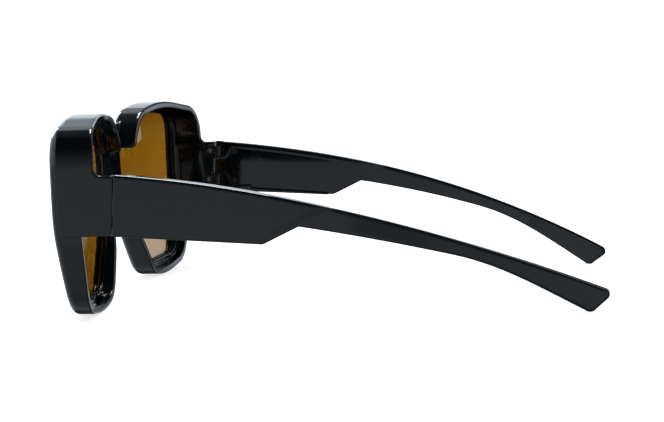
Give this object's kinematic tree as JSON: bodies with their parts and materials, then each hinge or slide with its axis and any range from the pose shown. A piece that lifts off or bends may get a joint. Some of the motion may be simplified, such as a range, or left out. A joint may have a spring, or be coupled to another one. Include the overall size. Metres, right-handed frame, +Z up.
{
  "type": "fitover sunglasses",
  "caption": "Wraparound fitover sunglasses: deep black hooded front, curved amber lenses and wide folding temples that narrow to slim curved arms.",
  "frame": {"origin": "centre of the object in plan, at the level of the surface that it rests on, temples open", "axes": "+X towards the wearer's left, +Y from the lenses back to the temple tips, +Z up"},
  "size_m": [0.1468, 0.1558, 0.0572],
  "materials": {
    "front_frame": "glossy black moulded",
    "lens": "polished amber tint",
    "temple": "glossy black moulded",
    "hinge_leaf": "black coated",
    "screw": "polished"
  },
  "bodies": {
    "front": {"front_frame": "front_frame", "lens_left": "lens", "lens_right": "lens", "frame_hinge_upper_left": "hinge_leaf", "hinge_screw_upper_left": "screw", "leaf_screw_upper_left": "screw", "frame_hinge_upper_right": "hinge_leaf", "hinge_screw_upper_right": "screw", "leaf_screw_upper_right": "screw", "frame_hinge_lower_left": "hinge_leaf", "hinge_screw_lower_left": "screw", "leaf_screw_lower_left": "screw", "frame_hinge_lower_right": "hinge_leaf", "hinge_screw_lower_right": "screw", "leaf_screw_lower_right": "screw"},
    "left_temple": {"temple_left": "temple", "temple_hinge_upper_left": "hinge_leaf", "temple_hinge_lower_left": "hinge_leaf"},
    "right_temple": {"temple_right": "temple", "temple_hinge_upper_right": "hinge_leaf", "temple_hinge_lower_right": "hinge_leaf"}
  },
  "joints": [
    {"name": "left_temple_fold", "type": "hinge", "parent": "front", "child": "left_temple", "pos_m": [0.06865, -0.05474, 0.03329], "axis": [0, 0.0616, 0.9981], "range_deg": [0, 84]},
    {"name": "right_temple_fold", "type": "hinge", "parent": "front", "child": "right_temple", "pos_m": [-0.06865, -0.05474, 0.03329], "axis": [0, -0.0616, -0.9981], "range_deg": [0, 79.5]}
  ]
}
